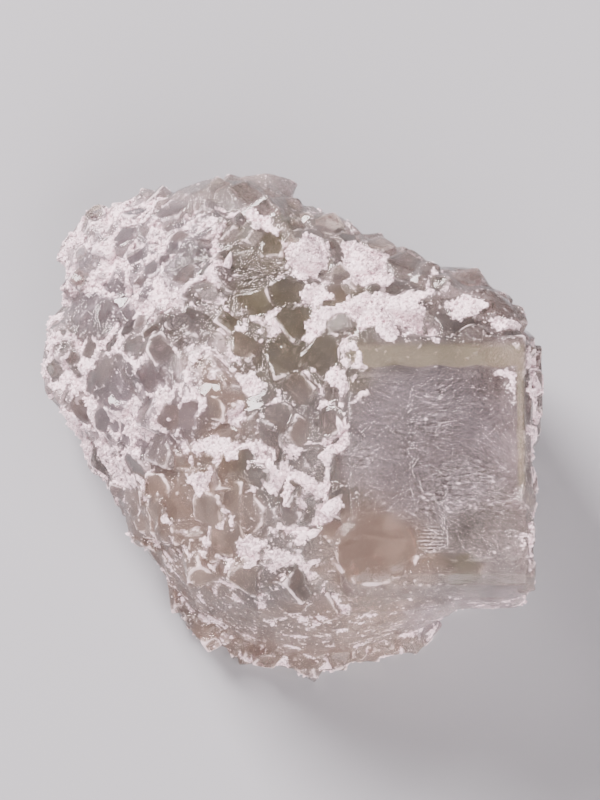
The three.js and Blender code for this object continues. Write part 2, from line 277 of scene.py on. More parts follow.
def on_break(points):
    """1 on the smooth broken side, fading to 0 at its edges."""
    x, y, z = points.T
    inside = np.minimum.reduce([BREAK_FAR - y, BREAK_TOP - z, x - BREAK_LEFT, z - BREAK_FOOT])
    return smooth_step(0, 1.5, inside)


# ---------- fluorite ----------


# The cuts on a small crystal 1 mm across: how far out its corner is cut, and how wide its edges are.
CORNER_CUT = 0.36
EDGE_CUT = 0.05


def seed_crystal():
    """A small fluorite crystal, 1 mm across: a cube with narrow cut edges and one cut corner."""
    bpy.ops.mesh.primitive_cube_add(size=MM, location=(0, 0, 0))
    crystal = bpy.context.object
    bpy.ops.object.mode_set(mode="EDIT")
    bpy.ops.mesh.select_all(action="SELECT")
    corner = (CORNER_CUT * MM, CORNER_CUT * MM, 0)
    bpy.ops.mesh.bisect(plane_co=corner, plane_no=(1, 0.7, 0.15), use_fill=True, clear_outer=True)
    bpy.ops.mesh.select_all(action="SELECT")
    bpy.ops.mesh.bevel(offset=EDGE_CUT * MM, segments=1, affect="EDGES")
    bpy.ops.object.mode_set(mode="OBJECT")
    return crystal


# Where small crystals crowd: an oval on the display side, how thickly they stand, and their least and most
# size. The first oval that holds a spot counts, and the first two keep the swelling and its corner bare.
CROWDS = [
    ((7.2, -9.2, 4.8, 4.6, 0), 0, 2, 3),
    ((16.5, -11.5, 6, 4, 0), 0, 2, 3),
    ((-3, 24.5, 8, 2.6, -10), 0.15, 2.5, 4.0),
    ((-16, 17, 10, 8, 30), 0.8, 1.4, 3.0),
    ((-2, 21, 9, 4, -15), 0.5, 2.2, 4.0),
    ((10, 15, 14, 6, -25), 0.5, 1.8, 3.8),
    ((-17, 3, 8, 12, 0), 0.9, 2.4, 4.4),
    ((-7, -3, 7, 6, 0), 0.8, 2.4, 4.4),
    ((-8, -11, 8, 6, 0), 0.7, 3.0, 5.4),
    ((0, -9, 8, 3, 0), 0.5, 2.0, 3.6),
    ((4, -20, 14, 5, 8), 0.8, 1.3, 2.6),
    ((-10, -15, 6, 5, -40), 0.8, 1.2, 2.4),
    ((-4, 9, 9, 11, -40), 0.35, 2.2, 4.2),
]
ELSEWHERE = (0.5, 2.2, 4.8)

# Small crystals: how far their face stands out of the stone, in millimetres, how many spots are tried, how
# close two of them may sit, as a share of their sizes together, how much they lean, and the share of clear
# ones.
SILL = 0.16
CRYSTAL_TRIES = 4200
CLOSENESS = 0.4
CRYSTAL_LEAN = 0.14
CLEAR_ONES = 0.7

# Crystals that stand out: across, up, size, how far they stand out, and the way they lean.
STANDING = [
    (4.6, 5.6, 3.2, SILL, (-0.25, -0.1, 1)),
    (4.0, 3.0, 3.0, SILL, (-0.4, 0, 1)),
    (4.8, 0.4, 3.4, SILL, (-0.3, -0.2, 1)),
    (4.2, -2.6, 3.0, SILL, (-0.45, -0.1, 1)),
    (5.2, -4.6, 3.6, SILL, (-0.2, -0.2, 1)),
    (3.9, -6.6, 2.8, SILL, (-0.5, 0, 1)),
    (3.6, 20.9, 3.6, 0.8, (0.3, 0.5, 1)),
    (8.6, 19.0, 2.8, 0.8, (0.2, 0.8, 1)),
    (11.2, 17.3, 3.9, 0.8, (0.2, 0.7, 1)),
    (16.6, 15.4, 4.4, 0.8, (0.1, 0.6, 1)),
    (20.8, 12.8, 3.0, 0.5, (0.5, 0.6, 1)),
    (-11.0, 22.6, 3.2, 0.5, (-0.3, 0.7, 1)),
    (-15.4, 20.2, 2.8, 0.5, (-0.5, 0.6, 1)),
    (-21.3, 10.2, 3.0, 0.5, (-0.9, 0.3, 1)),
]


def crowd_at(point):
    """How thickly small crystals stand at a point, and their least and most size."""
    seen = display(point)
    for oval, thickness, least, most in CROWDS:
        if inside_oval(seen, oval)[0] > 0:
            return thickness, least, most
    return ELSEWHERE


def crystal_sites(body):
    """Where small crystals sit, none too close to another: place, axes, size, second width and sill."""
    draw = random.Random(4)
    tree = BVHTree.FromObject(body, bpy.context.evaluated_depsgraph_get())
    sites = []
    for across, up, size, sill, lean in STANDING:
        spot, _ = shown_spot(tree, across, up)
        spin = Matrix.Rotation(draw.uniform(0.4, 1.1), 3, "Z")
        axes = Vector(lean).to_track_quat("Z", "Y").to_matrix() @ spin
        sites.append((spot, axes, size, 0.85 * size, sill))
    for _ in range(CRYSTAL_TRIES):
        heading, height = draw.uniform(0, math.tau), draw.uniform(-0.25, 1)
        flat = math.sqrt(1 - height * height)
        ray = Vector((flat * math.cos(heading), flat * math.sin(heading), height))
        spot, normal, _, _ = tree.ray_cast(HEART + ray * REACH, -ray)
        point = np.array([spot]) / MM
        thickness, least, most = crowd_at(point)
        bare = on_right_face(point)[0] + on_break(point)[0]
        size = least + (most - least) * draw.random() ** 1.5
        size = min(size, 1.6 + 4 * max(0, normal.z))
        lean = Vector([draw.gauss(0, CRYSTAL_LEAN) for _ in range(3)])
        spin = Matrix.Rotation(draw.uniform(0, math.tau), 3, "Z")
        axes = (normal + lean).to_track_quat("Z", "Y").to_matrix() @ spin
        if draw.random() > thickness or bare > 0.2 or point[0, 2] < 0.5 + size / 2:
            continue
        if all((spot - other[0]).length > CLOSENESS * MM * (size + other[2]) for other in sites):
            sites.append((spot, axes, size, size * draw.uniform(0.7, 1.1), SILL))
    return sites


def small_crystals(sites):
    """Small crystals sunk into the stone until little more than one face shows, all copies of one."""
    first = seed_crystal()
    grown = []
    for spot, axes, size, width, sill in sites:
        shape = Matrix.Diagonal((size, width, size, 1))
        sunk = Matrix.Translation((0, 0, (sill / size - 0.5) * MM))
        crystal = copy_of(first, "small_crystal")
        crystal.matrix_world = Matrix.Translation(spot) @ axes.to_4x4() @ shape @ sunk
        grown.append(crystal)
    bpy.data.objects.remove(first)
    return grown


def windows_on(points, sites):
    """1 on the clear faces of the small crystals and 0 elsewhere, and a tone for each crystal."""
    draw = random.Random(6)
    middles = [(spot + axes.col[2] * sill * MM) / MM for spot, axes, _, _, sill in sites]
    tree = KDTree(len(sites))
    for index, middle in enumerate(middles):
        tree.insert(middle, index)
    tree.balance()
    nearest = np.array([tree.find(point)[1] for point in points])
    offset = points - np.array(middles)[nearest]
    along, over, height = (
        np.einsum("ij,ij->i", offset, np.array([site[1].col[axis] for site in sites])[nearest])
        for axis in range(3)
    )
    halves = np.array([(site[2] / 2, site[3] / 2) for site in sites])[nearest]
    past_side = np.maximum(np.abs(along) - halves[:, 0], np.abs(over) - halves[:, 1])
    tones = np.array([draw.random() for _ in sites])[nearest]
    clean = np.array([draw.random() < CLEAR_ONES for _ in sites])[nearest]
    window = clean * smooth_step(0.15, 0.06, np.abs(height)) * smooth_step(0.05, -0.2, past_side)
    return window, np.where(past_side < 0.1, tones, 0.5)


def shown_spot(tree, across, up):
    """The place on the surface, and its normal, that lies across and up on the display side."""
    rise = Vector((0, math.sin(VIEW_RISE), math.cos(VIEW_RISE)))
    back = Vector((0, -math.cos(VIEW_RISE), math.sin(VIEW_RISE)))
    start = Vector((across * MM, 0, 0)) + rise * up * MM + back * REACH
    spot, normal, _, _ = tree.ray_cast(start, -back)
    return spot, normal


# The swelling's half height, how deep its middle is sunk, and a flat spot of the face whose tilt it takes.
DOME_HEIGHT = 1.2
DOME_DEPTH = 0.75
FLAT_SPOT = (12, -5)


def smooth_dome(body):
    """The low clear swelling near the corner of the right crystal's face."""
    tree = BVHTree.FromObject(body, bpy.context.evaluated_depsgraph_get())
    across, up, half_long, half_short, _ = SWELLING
    spot, _ = shown_spot(tree, across, up)
    _, normal = shown_spot(tree, *FLAT_SPOT)
    bpy.ops.mesh.primitive_ico_sphere_add(subdivisions=4, radius=MM, location=(0, 0, 0))
    dome = bpy.context.object
    lean = (normal + Vector((-0.04, -0.04, 0))).to_track_quat("Z", "Y").to_matrix().to_4x4()
    shape = Matrix.Diagonal((half_long + 0.2, half_short + 0.2, DOME_HEIGHT, 1))
    sunk = Matrix.Translation((0, 0, -DOME_DEPTH * MM))
    dome.matrix_world = Matrix.Translation(spot) @ lean @ sunk @ shape
    return dome


def melted(piece, weight, rounds):
    """Rounds the surface off where the weight is 1, as a crystal that has begun to dissolve."""
    points = places(piece)
    rounded = spread(points, joined_edges(piece), rounds)
    move_to(piece, points + (rounded - points) * weight[:, None])


def relief(points, window):
    """How far the surface stands out, in millimetres: etching, growth lines and the ripples of the break."""
    face = on_right_face(points)
    broken = on_break(points)
    plain = np.maximum(window, broken)
    etched = smooth_step(-0.2, 0.4, fractal(points, 5, 2, seed=3)) * (1 - plain)
    low = 0.07 * fractal(points, 3.2, 2, seed=2) * (1 - window)
    pits = 0.05 * fractal(points, 0.7, 3, seed=1) * (0.12 + etched)
    lines = fractal(points * np.array([0.28, 1.7, 1]), 1.1, 3, seed=5)
    growth = 0.07 * lines * smooth_step(3.5, 1.5, np.abs(points[:, 1] + 5))
    ripples = 0.2 * fractal(points * np.array([0.35, 1, 1.4]), 2.3, 4, seed=7)
    worn = -0.07 * face * (1 - face_borders(points))
    return low + pits + face * growth + worn + broken * ripples


# How often the rounded places are averaged, and how far the skin stays inside the solid's box.
MELT_ROUNDS = 10
SPARE = 0.2


def fluorite_body():
    """The merged solid with its small crystals grown in, its edges softened and its faces etched."""
    body = copy_of(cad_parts[NODE], "fluorite")
    only(body)
    bpy.ops.object.mode_set(mode="EDIT")
    bpy.ops.mesh.select_all(action="SELECT")
    bpy.ops.mesh.remove_doubles(threshold=0.002 * MM)
    bpy.ops.object.mode_set(mode="OBJECT")
    sites = crystal_sites(body)
    body = joined(body, small_crystals(sites) + [smooth_dome(body)])
    finished(body, "REMESH", mode="VOXEL", voxel_size=FINE * MM)
    finished(body, "SMOOTH", factor=0.5, iterations=3)
    melted(body, tint_of(places(body), ROUNDED), MELT_ROUNDS)
    points = places(body)
    window, _ = windows_on(points, sites)
    points += outward(body) * relief(points, window)[:, None]
    move_to(body, inside_box(points, spare=SPARE))
    return body, sites


def thinned(piece, triangles):
    """Takes faces out where the surface is plain, down to a number of triangles."""
    finished(piece, "TRIANGULATE", quad_method="SHORTEST_DIAGONAL")
    count = len(piece.data.polygons)
    if count > triangles:
        finished(piece, "DECIMATE", decimate_type="COLLAPSE", ratio=triangles / count)
    move_to(piece, inside_box(places(piece)))


def joined_edges(piece):
    """The two ends of each edge, one row each."""
    flat = np.empty(len(piece.data.edges) * 2, dtype=np.int32)
    piece.data.edges.foreach_get("vertices", flat)
    return flat.reshape(-1, 2)


def spread(values, ends, rounds):
    """Averages a value over each vertex's neighbours, some rounds over."""
    columns = values.reshape(len(values), -1)
    for _ in range(rounds):
        total = np.zeros_like(columns)
        count = np.zeros(len(columns))
        for near, far in ((0, 1), (1, 0)):
            for column in range(columns.shape[1]):
                total[:, column] += np.bincount(ends[:, near], columns[ends[:, far], column], len(columns))
            count += np.bincount(ends[:, near], minlength=len(columns))
        columns = total / np.maximum(count, 1)[:, None]
    return columns.reshape(values.shape)


def sharpness(piece, rounds):
    """How far each vertex stands out of the surface round it: positive on ridges, negative in gaps."""
    points = places(piece)
    flattened = spread(points, joined_edges(piece), rounds)
    return np.einsum("ij,ij->i", points - flattened, outward(piece))


def paint_attribute(piece, name, values):
    attribute = piece.data.attributes.new(name, "FLOAT", "POINT")
    attribute.data.foreach_set("value", values.astype(np.float32))


# Where the crystals are rounded, as ovals on the display side.
ROUNDED = [
    (-3, 24, 9, 2.8, -8),
    (14, 16, 9, 3.4, -28),
    (-20, 9, 5, 9, 0),
    (6, -10.4, 3.6, 3.6, 0),
    (16, -15, 8, 2.6, 8),
    (11.8, 1.5, 2, 9, 0),
]

# Where a face is finely etched, as ovals on the display side.
ETCHED = [
    (13, 1, 9.5, 8.5, 0),
    (15.5, -6, 7.5, 6, 0),
    (4, -1, 3, 4, 0),
    (-2.5, 17, 4.5, 1.6, -15),
    (-1.5, 13, 3.5, 2.5, 0),
]

# Where the face has fine level ripples, painted as light crests and shaded troughs, as an oval on the
# display side.
RIPPLED = (13.2, -7.8, 1.5, 1.6, 0)

# Where a thin white frost veils the glass between the patches of quartz, as ovals on the display side.
VEILED = [
    (-16, 17, 10, 7, 35),
    (-20, 5, 5, 10, 10),
    (-13, 1, 7, 5, -30),
    (-8, 9, 4, 7, -30),
    (17, 15, 7, 2, -25),
    (16, -14.2, 7.5, 2.6, 8),
    (19.8, -1, 1.8, 4.5, 0),
    (17.5, -8, 4, 3.6, 0),
    (12, -8.8, 0.6, 2.4, 0),
    (12, -11.9, 3.4, 0.9, -4),
]

# Tints of the glassy fluorite, as ovals on the display side.
TINTS = {
    "smoky": [
        (-4, 9, 9, 6, -45),
        (3, 3, 5, 5, -30),
        (-8, -3, 5, 4, -30),
        (-4, 24, 9, 3, -8),
        (9, 16, 8, 3, -28),
    ],
    "violet": [
        (13.5, 1, 8.5, 7.5, 0),
        (17, -15.5, 7, 3, 10),
        (-15, 18, 9, 6, 30),
        (-13, 4, 6, 5, 0),
    ],
    "olive": [
        (-2.5, 19, 4.4, 3.0, -15),
        (0.4, 21.8, 1.6, 1.4, 0),
        (-1, 11, 7, 5, -30),
        (6.5, 9, 2, 4, 0),
        (5.5, 13.8, 2.5, 1.5, 0),
        (-6.5, -1.5, 3.5, 2.5, -20),
        (14.5, -9.9, 3.2, 0.9, 8),
        (16.2, -11.2, 1.8, 1.0, 30),
        (-8.8, 3, 2, 2, 0),
        (9.8, -9.4, 2.4, 1.3, 28),
        (7, -11.2, 2.6, 0.6, 8),
    ],
    "beige": [
        (8, -9.5, 6.5, 5, 0),
        (2, -17.5, 16, 4, 5),
        (-9, -8, 7, 8, -20),
        (-8, 3, 5, 6, 0),
    ],
}


def tint_of(points, ovals):
    """1 inside the ovals, with cloudy borders, and 0 outside."""
    seen = display(points)
    seen += 0.9 * np.stack([fractal(points, 3, 3, seed=41), fractal(points, 3, 3, seed=42)], axis=1)
    return np.maximum.reduce([smooth_step(-0.15, 0.3, inside_oval(seen, oval)) for oval in ovals])


# ---------- drusy quartz ----------

# How much of the stone the crust covers: ovals on the display side, and the share inside each.
COVER = [
    ((-16, 17, 9, 7, 35), 0.62),
    ((-20, 7, 6, 8, 20), 0.5),
    ((-14, 2, 8, 7, -30), 0.55),
    ((-7, 15, 5, 8, 0), 0.42),
    ((-9, 6, 6, 5, -35), 0.36),
    ((-1, 10, 6, 8, -30), 0.3),
    ((6, 17, 7, 4.5, -25), 0.3),
    ((17, 14, 6.5, 4, -25), 0.24),
    ((4.5, 4, 3, 9, -10), 0.28),
    ((0, -3, 6, 4.5, -20), 0.32),
    ((-9, -4, 6, 5, 0), 0.32),
    ((0, -9, 9, 4, -10), 0.2),
    ((-12, -9, 6, 6, 0), 0.14),
    ((14, -1, 8, 11, 0), 0.03),
    ((22.5, 2, 2, 12, 0), 0.35),
    ((4, -21.5, 12, 2.6, 8), 0.3),
    ((2, -17, 14, 3.5, 5), 0.08),
]

# Where the crust runs in slanting streaks, as an oval on the display side.
STREAKED = (-15, 17, 10, 8, 35)

# Patches of unbroken crust, patches of lacy crust and clear windows, as ovals on the display side.
SOLID_PATCHES = [
    (-2.3, 22.3, 2.2, 1.4, -35),
    (-1.0, 20.6, 1.1, 0.7, -60),
    (2.1, 18.4, 2.3, 2.0, 0),
    (7.6, 17.4, 2.9, 1.9, -35),
    (9.3, 12.8, 4.1, 2.0, -10),
    (13.2, 10.9, 1.2, 0.6, -40),
    (16.4, 13.4, 2.2, 1.0, 5),
    (16.2, 10.6, 0.9, 0.45, 0),
    (20.8, 11.9, 0.7, 0.5, 20),
    (20.8, 9.7, 0.8, 0.5, -20),
    (2.6, 14.6, 1.3, 1.1, 0),
    (3.1, 12.1, 1.9, 1.0, 35),
    (5.8, 9.2, 1, 1.3, 22),
    (18.8, 4.6, 0.5, 1.2, 15),
    (19.6, 7.2, 1.1, 0.4, 0),
    (13.6, -0.2, 0.7, 0.7, 0),
    (12.2, -1.2, 0.8, 0.4, 15),
    (22.9, 6.2, 0.5, 2.6, 4),
    (4.3, 6.8, 0.8, 1.1, 0),
    (6.2, 4.9, 1.5, 0.5, 20),
    (4.4, 0.5, 2.4, 0.35, 42),
    (-3.1, 6.0, 1.3, 1.0, -20),
    (-4.9, 3.6, 1.1, 1.2, 0),
    (-6.5, 0.3, 2.1, 1.3, -15),
    (-8.4, 4.5, 1.1, 1.2, 0),
    (0.1, -3.7, 0.4, 1.5, -10),
    (1.7, -2.5, 1.8, 0.5, -35),
    (3.9, -5.3, 1.6, 0.8, 45),
    (1.5, -7.6, 1.0, 1.1, 0),
    (-0.5, -6.7, 1.5, 0.5, 15),
    (-7.6, -2.4, 1.0, 1.5, -25),
    (-3.6, -9.1, 1.0, 1.5, 10),
    (-0.3, -9.8, 0.9, 0.9, 0),
    (-5.6, 8.2, 4.7, 0.14, -36),
    (-0.4, -1.0, 2.2, 0.16, -44),
    (-9.0, 15.6, 4.2, 0.16, 44),
    (1.9, 10.6, 1.4, 0.2, 35),
    (0, 8.5, 1.0, 0.2, 75),
]
LACY_PATCHES = [
    (-6.9, 18.5, 1.3, 3.6, 10),
    (-1.2, 12, 1.0, 1.4, 10),
    (-4.9, 13, 1.3, 1.8, 15),
    (-2.7, 16.4, 2, 0.5, -15),
    (22.9, -1, 0.3, 3.4, 2),
    (17.8, 4.6, 0.5, 1.3, 15),
    (4.3, 3.4, 0.9, 2.2, -10),
    (5.9, 1.9, 1.3, 0.8, 30),
    (-1.9, -1.5, 3.2, 1.5, -42),
    (6.6, -4.9, 1.6, 0.5, 10),
    (5.8, -7.0, 0.9, 1.5, 0),
    (-5.2, -5.5, 0.5, 2.0, 5),
    (-10.8, 3.4, 2.6, 1.6, -30),
    (-10.8, 0.7, 2.2, 2.4, 0),
    (-15.8, 1.7, 1.8, 3.4, -15),
    (-19.6, 4.4, 1.5, 3, -20),
    (-6, -9, 0.8, 2.2, 15),
    (6.4, -12.8, 3.2, 0.4, 0),
    (14.4, -13.8, 1.2, 0.5, 20),
    (2.6, -15.3, 1.6, 0.5, 0),
]
WINDOWS = [
    (-18.9, 13, 2.4, 2.2, 0),
    (-8.8, 18.6, 1.6, 1.6, 0),
    (-10.2, 23.4, 1.2, 1, 0),
    (-11, 22.2, 1.2, 0.9, -30),
    (-19.1, 18.1, 1.2, 0.8, 20),
    (-16.5, 15.6, 1.2, 0.7, -10),
    (-15, 20.7, 0.5, 0.5, 0),
    (-13.7, 20.6, 0.7, 1, 40),
    (-15.9, 19.1, 0.6, 0.6, 0),
    (-10.3, 17.3, 1, 0.9, 0),
    (-11, 11.7, 1.8, 1.3, 30),
    (-8, 11.7, 1.6, 1.4, 0),
    (-17.1, 6.6, 1.6, 2.3, 0),
    (-14.9, 6.4, 0.8, 1.6, 0),
    (-11.5, 8.2, 1.2, 1.7, 0),
    (-8.8, 2.7, 1.6, 2, -30),
    (-16.2, 1.2, 1.1, 1.9, 0),
    (-11.7, 0.2, 2, 1.7, 0),
    (-5.9, -2.1, 2.5, 1.9, -25),
    (-5.9, 4.9, 1.6, 2, -20),
    (-11, -3.1, 1.8, 2.4, 0),
    (-2.6, -5.6, 2.6, 1.7, -15),
    (-3.5, 19, 3.2, 2, -20),
    (-3, 14.8, 3, 1.4, 0),
    (0.4, 21.2, 1.9, 1.4, -10),
    (-3.2, 24.6, 5, 2, -8),
    (1, 4.4, 1.6, 3, 0),
    (-0.6, 8.6, 2.4, 2.6, 0),
    (5, 12, 1, 0.8, 0),
    (7.1, -9.2, 4, 4, 0),
    (13.5, -2, 8, 12, 0),
    (13.8, 9, 8, 1.4, 0),
    (4.5, 17.8, 0.6, 2.6, 0),
    (3.6, 21.3, 1.7, 1.7, 0),
    (8.8, 19.8, 1.5, 0.9, -30),
    (11.4, 17.2, 2.0, 1.9, -30),
    (6.4, 15.1, 3.0, 0.5, -5),
    (16.9, 16.2, 2.6, 1.3, -25),
    (20.6, 13.8, 2, 1.4, -35),
    (14.1, 12.8, 1.1, 0.9, 0),
    (20.4, 10.8, 3.0, 0.5, 0),
]


# The share that quartz covers of the display side where no oval says otherwise, and of the other sides.
SHARE_SHOWN = 0.14
SHARE_HIDDEN = 0.2


def share_covered(points, normals, window):
    """The share of the surface that quartz covers round each point, from 0 to 1."""
    wander = [fractal(points, 1.5, 3, seed=17), fractal(points, 1.5, 3, seed=18)]
    seen = display(points) + 0.5 * np.stack(wander, axis=1)
    facing = normals[:, 1] * -math.cos(VIEW_RISE) + normals[:, 2] * math.sin(VIEW_RISE)
    shown = smooth_step(-0.15, 0.2, facing)
    share = np.full(len(points), SHARE_SHOWN)
    for oval, covered in COVER:
        weight = smooth_step(-0.15, 0.25, inside_oval(seen, oval))
        share += (covered - share) * weight
    solid, lacy, clear = (within(seen, ovals) for ovals in (SOLID_PATCHES, LACY_PATCHES, WINDOWS))
    share += np.maximum(0.75 * solid, 0.3 * lacy) - 0.7 * clear - 0.5 * window * (1 - solid)
    share = shown * share + (1 - shown) * SHARE_HIDDEN
    return share * smooth_step(0.5, 1.4, points[:, 2])


def ranked(values):
    """Each value's place in their order, from 0 for the least to 1 for the most."""
    rank = np.empty(len(values))
    rank[np.argsort(values)] = np.linspace(0, 1, len(values))
    return rank


def quartz_cover(points, normals, hollow, window):
    """Positive where quartz grows: first in the gaps, then along winding lines, with ragged edges."""
    stray = 0.7 * fractal(points, 2, 2, seed=14)[:, None]
    lace = ridges(points + stray, 3.1, seed=13)
    ragged = fractal(points, 1.5, 5, seed=11)
    slanting = points @ np.array([(0.25, 1, 0), (0.25, -1, 0), (0, 0, 0.8)])
    streaked = smooth_step(-0.1, 0.3, inside_oval(display(points), STREAKED))
    ragged += (fractal(slanting, 1.5, 4, seed=12) - ragged) * 0.8 * streaked
    gaps = np.clip(hollow, -0.06, 0.1) / 0.1
    likely = ranked(-0.5 * lace - 0.8 * ragged - 0.8 * gaps)
    share = share_covered(points, normals, window)
    specks = 0.8 * fractal(points, 0.5, 2, seed=16) - 0.8 + 0.5 * share - window
    return np.maximum(share - likely, specks)


# The crust: how deep its edge is rooted, how far the thick of it rises, its wall and its roughness, in
# millimetres.
ROOT = 0.05
RISE = 0.07
WALL = 0.09
ROUGHNESS = 0.02


def quartz_crust(body, name, grown, kept):
    """A thin sugary crust that follows the fluorite, with ragged edges, on the vertices that are kept."""
    crust = copy_of(body, name)
    points = places(crust)
    thick = smooth_step(0, 0.2, grown)
    lumps = fractal(points, 0.4, 2, seed=21)
    rise = -ROOT + RISE * thick * (1 + lumps)
    move_to(crust, points + outward(crust) * rise[:, None])
    delete_where(crust, (grown < 0) | ~kept)
    finished(crust, "SOLIDIFY", thickness=WALL * MM, offset=1, use_even_offset=False)
    rough = np.random.default_rng(8).normal(0, ROUGHNESS, (len(crust.data.vertices), 3))
    move_to(crust, places(crust) + rough)
    thinned(crust, PIECE_TRIANGLES)
    only(crust)
    bpy.ops.object.shade_flat()
    return crust


def hexagon_point():
    """A tiny quartz crystal, 1 mm across: a short six-sided prism drawn in to a point."""
    bpy.ops.mesh.primitive_cylinder_add(vertices=6, radius=0.5 * MM, depth=0.5 * MM, location=(0, 0, 0))
    crystal = bpy.context.object
    top = np.array([face.normal.z > 0.99 for face in crystal.data.polygons])
    bpy.ops.object.mode_set(mode="EDIT")
    bpy.ops.mesh.select_mode(type="FACE")
    bpy.ops.mesh.select_all(action="DESELECT")
    bpy.ops.object.mode_set(mode="OBJECT")
    crystal.data.polygons.foreach_set("select", top)
    bpy.ops.object.mode_set(mode="EDIT")
    bpy.ops.mesh.extrude_region_move(TRANSFORM_OT_translate={"value": (0, 0, 0.55 * MM)})
    bpy.ops.transform.resize(value=(0.08, 0.08, 1))
    bpy.ops.object.mode_set(mode="OBJECT")
    return crystal


# Larger quartz crystals on the display side: across, up, length, thickness and turn.
PRISMS = [
    (3.8, -5.2, 2.4, 1.3, 50),
    (2.2, -7.4, 1.3, 0.8, 20),
    (-5.6, 17.6, 1.5, 0.7, 75),
    (4.9, 2.4, 1.4, 0.7, 110),
]


# Tiny quartz crystals: how thick the crust is where they stand, how much they lean, their least and most
# width in millimetres, and how far they stay inside the solid's box, in metres.
THICK_CRUST = 0.06
POINT_LEAN = 0.4
POINT_WIDTHS = (0.14, 0.34)
CLEARANCE = 0.3 * MM


def quartz_points(body, grown):
    """Tiny quartz crystals all over the thick of the crust, and a few larger ones lying on it."""
    draw = random.Random(9)
    first = hexagon_point()
    points, normals = places(body), outward(body)
    thick = np.flatnonzero(grown > THICK_CRUST)
    inward = Vector((CLEARANCE,) * 3)
    low, high = Vector(CAD_BOX[0]) + inward, Vector(CAD_BOX[1]) - inward
    copies = []
    for index in draw.sample(list(thick), POINT_COUNT):
        spot, normal = Vector(points[index]) * MM, Vector(normals[index])
        if any(not low[axis] < spot[axis] < high[axis] for axis in range(3)):
            continue
        lean = Vector([draw.gauss(0, POINT_LEAN) for _ in range(3)])
        width = draw.uniform(*POINT_WIDTHS)
        shape = Matrix.Diagonal((width, width, width * draw.uniform(0.9, 1.4), 1))
        turn = (normal + lean).to_track_quat("Z", "Y").to_matrix().to_4x4()
        crystal = copy_of(first, "quartz_point")
        crystal.matrix_world = Matrix.Translation(spot + normal * 0.1 * MM) @ turn @ shape
        copies.append(crystal)
    tree = BVHTree.FromObject(body, bpy.context.evaluated_depsgraph_get())
    for across, up, length, thickness, turn in PRISMS:
        spot, _ = shown_spot(tree, across, up)
        angle = math.radians(turn)
        heading = Vector((math.cos(angle), math.sin(angle), 0.12))
        along = heading.to_track_quat("Z", "X").to_matrix().to_4x4()
        shape = Matrix.Diagonal((thickness, thickness, length, 1))
        crystal = copy_of(first, "quartz_prism")
        crystal.matrix_world = Matrix.Translation(spot) @ along @ shape
        copies.append(crystal)
    bpy.data.objects.remove(first)
    cluster = joined(copies[0], copies[1:])
    cluster.name = cluster.data.name = "quartz_points"
    settled(cluster)
    move_to(cluster, inside_box(places(cluster)))
    return cluster


# ---------- materials ----------


class Wire:
    """A value on its way through a material. Arithmetic on it adds Math nodes."""

    def __init__(self, paint, socket):
        self.paint = paint
        self.socket = socket

    def _with(self, operation, *others):
        return self.paint.node("ShaderNodeMath", {"operation": operation}, *others)

    def __add__(self, other):
        return self._with("ADD", self, other)

    def __sub__(self, other):
        return self._with("SUBTRACT", self, other)

    def __mul__(self, other):
        return self._with("MULTIPLY", self, other)

    def __rsub__(self, other):
        return self._with("SUBTRACT", other, self)

    __radd__ = __add__
    __rmul__ = __mul__


class Paint:
    """A node material, with short ways to add its nodes."""

    def __init__(self, name):
        self.material = bpy.data.materials.new(name)
        self.material.use_nodes = True
        self.tree = self.material.node_tree
        self.tree.nodes.remove(self.tree.nodes["Principled BSDF"])

    def connect(self, socket, value):
        if isinstance(value, Wire):
            self.tree.links.new(value.socket, socket)
        else:
            socket.default_value = value

    def node(self, kind, settings=None, *values, result=0, **named):
        """Adds a node: its settings, its sockets in order, its named sockets. Gives one of its outputs."""
        added = self.tree.nodes.new(kind)
        for name, value in (settings or {}).items():
            setattr(added, name, value)
        for socket, value in zip(added.inputs, values):
            if value is not None:
                self.connect(socket, value)
        for name, value in named.items():
            self.connect(added.inputs[name.replace("_", " ")], value)
        return Wire(self, added.outputs[result])

    def place(self, stretch=(1, 1, 1)):
        """The place on the piece, in millimetres, stretched along the axes."""
        here = self.node("ShaderNodeTexCoord", result="Object")
        scale = tuple(share / MM for share in stretch)
        return self.node("ShaderNodeMapping", Vector=here, Scale=scale)

    def clouds(self, size, detail=3, stretch=(1, 1, 1), rough=0.5):
        """Cloudy noise from 0 to 1, its lumps about `size` millimetres."""
        sockets = {"Scale": 1 / size, "Detail": detail, "Roughness": rough}
        return self.node("ShaderNodeTexNoise", Vector=self.place(stretch), **sockets)

    def attribute(self, name):
        """A value that the piece carries at its vertices."""
        return self.node("ShaderNodeAttribute", {"attribute_name": name}, result="Fac")

    def band(self, value, low, high):
        """0 below low, 1 above high, smooth between."""
        settings = {"interpolation_type": "SMOOTHSTEP"}
        return self.node("ShaderNodeMapRange", settings, Value=value, From_Min=low, From_Max=high)

    def highest(self, first, second):
        return self.node("ShaderNodeMath", {"operation": "MAXIMUM"}, first, second)

    def mixed(self, share, first, second):
        """The first colour, going over to the second as the share goes from 0 to 1."""
        colours = (*[None] * 5, first, second)
        return self.node("ShaderNodeMix", {"data_type": "RGBA"}, share, *colours, result=2)

    def finish(self, surface, volume=None):
        """Puts the surface, and what fills the piece, into the material."""
        output = self.tree.nodes["Material Output"]
        self.connect(output.inputs["Surface"], surface)
        if volume:
            self.connect(output.inputs["Volume"], volume)
        return self.material


def colour(red, green, blue):
    return (red, green, blue, 1)


